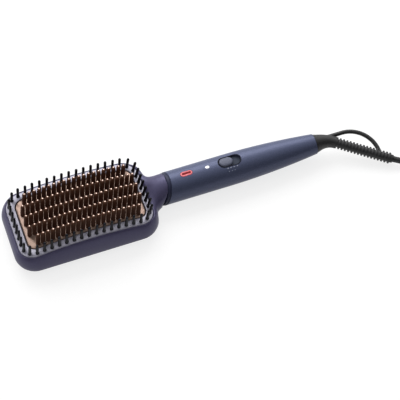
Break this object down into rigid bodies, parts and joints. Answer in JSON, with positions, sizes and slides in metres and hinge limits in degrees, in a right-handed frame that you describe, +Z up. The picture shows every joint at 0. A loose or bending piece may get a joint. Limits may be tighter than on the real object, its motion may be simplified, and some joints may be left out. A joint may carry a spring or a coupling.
{
  "type": "hair straightening brush",
  "caption": "Heated paddle brush for straightening hair, with pins on a heated plate, outer bristles, a round handle with a slide switch, and a mains lead.",
  "frame": {"origin": "on the surface that the brush lies on, under the middle of the brush without its lead", "axes": "+X from the head to the cord end, +Y to the left seen from the cord end, +Z up along the bristles"},
  "size_m": [0.5327, 0.112, 0.0436],
  "materials": {
    "navy_shell": "satin moulded",
    "collar_black": "gloss moulded",
    "ring_lavender": "satin moulded",
    "bristle_nylon": "smooth moulded",
    "plate_rose": "satin ceramic coat",
    "pin_bronze": "gloss ceramic coat",
    "inner_plastic": "plain moulded",
    "heater_ceramic": "fired",
    "mica": "pressed sheet",
    "clamp_steel": "sprung strip",
    "screw_steel": "zinc plated",
    "fuse_metal": "drawn can",
    "lead_red": "silicone insulation",
    "lead_brown": "insulation",
    "board_green": "solder mask",
    "chip_black": "moulded package",
    "lamp_white": "diffusing",
    "mark_red": "clear coated inlay",
    "knob_grey": "satin moulded",
    "cord_rubber": "matte moulded",
    "tie_rubber": "smooth strap",
    "plug_plastic": "moulded on",
    "plug_brass": "nickel plated brass"
  },
  "bodies": {
    "brush": {"head_housing": "navy_shell", "head_back_cover": "navy_shell", "handle_front_shell": "navy_shell", "handle_rear_shell": "navy_shell", "collar_ring": "collar_black", "switch_track": "collar_black", "bristle_ring": "ring_lavender", "outer_bristles": "bristle_nylon", "heater_plate": "plate_rose", "heated_pins": "pin_bronze", "plate_carrier": "inner_plastic", "cord_grip": "inner_plastic", "switch_body": "inner_plastic", "ceramic_heaters": "heater_ceramic", "mica_sheet": "mica", "heater_clamp": "clamp_steel", "heat_sensor": "clamp_steel", "head_screws": "screw_steel", "clamp_screws": "screw_steel", "handle_screws": "screw_steel", "cord_grip_screws": "screw_steel", "thermal_fuse": "fuse_metal", "capacitor": "fuse_metal", "heater_leads": "lead_red", "mains_leads": "lead_brown", "circuit_board": "board_green", "triac": "chip_black", "lamp_chip": "lamp_white", "lamp_lens": "lamp_white", "red_mark": "mark_red", "strain_relief": "cord_rubber", "inner_cord": "cord_rubber", "power_cord": "cord_rubber", "cord_coil": "cord_rubber", "cord_tail": "cord_rubber", "cord_tie": "tie_rubber", "plug_body": "plug_plastic", "plug_pins": "plug_brass"},
    "switch": {"switch_knob": "knob_grey", "switch_lever": "inner_plastic"}
  },
  "joints": [
    {"name": "switch_slide", "type": "slide", "parent": "brush", "child": "switch", "axis": [1, 0, 0], "range_m": [0, 0.007]}
  ]
}
